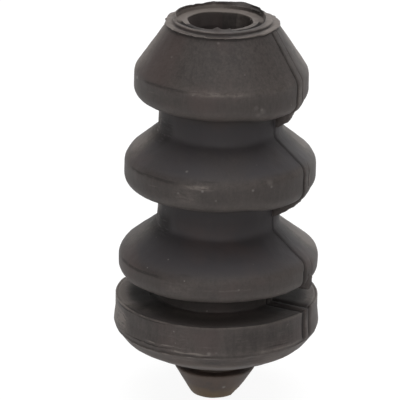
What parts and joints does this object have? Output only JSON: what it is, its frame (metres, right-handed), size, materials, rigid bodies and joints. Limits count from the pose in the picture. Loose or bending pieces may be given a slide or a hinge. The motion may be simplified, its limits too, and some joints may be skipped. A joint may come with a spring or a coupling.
{
  "type": "rubber buffer",
  "caption": "Moulded black rubber suspension buffer: bellows lobes on a thick flange, a blind bore in the top and a barbed plug below that snaps into a bracket.",
  "frame": {"origin": "on the buffer's axis, in the seat plane under the flange, where the plug's neck leaves it", "axes": "+Z along the axis from the flange to the bore's mouth; +X towards one parting rib"},
  "size_m": [0.0622, 0.0614, 0.1196],
  "materials": {
    "rubber": "dull moulded rubber with a light bloom, dusty and scuffed along its edges"
  },
  "bodies": {
    "root": {"rubber_buffer": "rubber"}
  },
  "joints": []
}
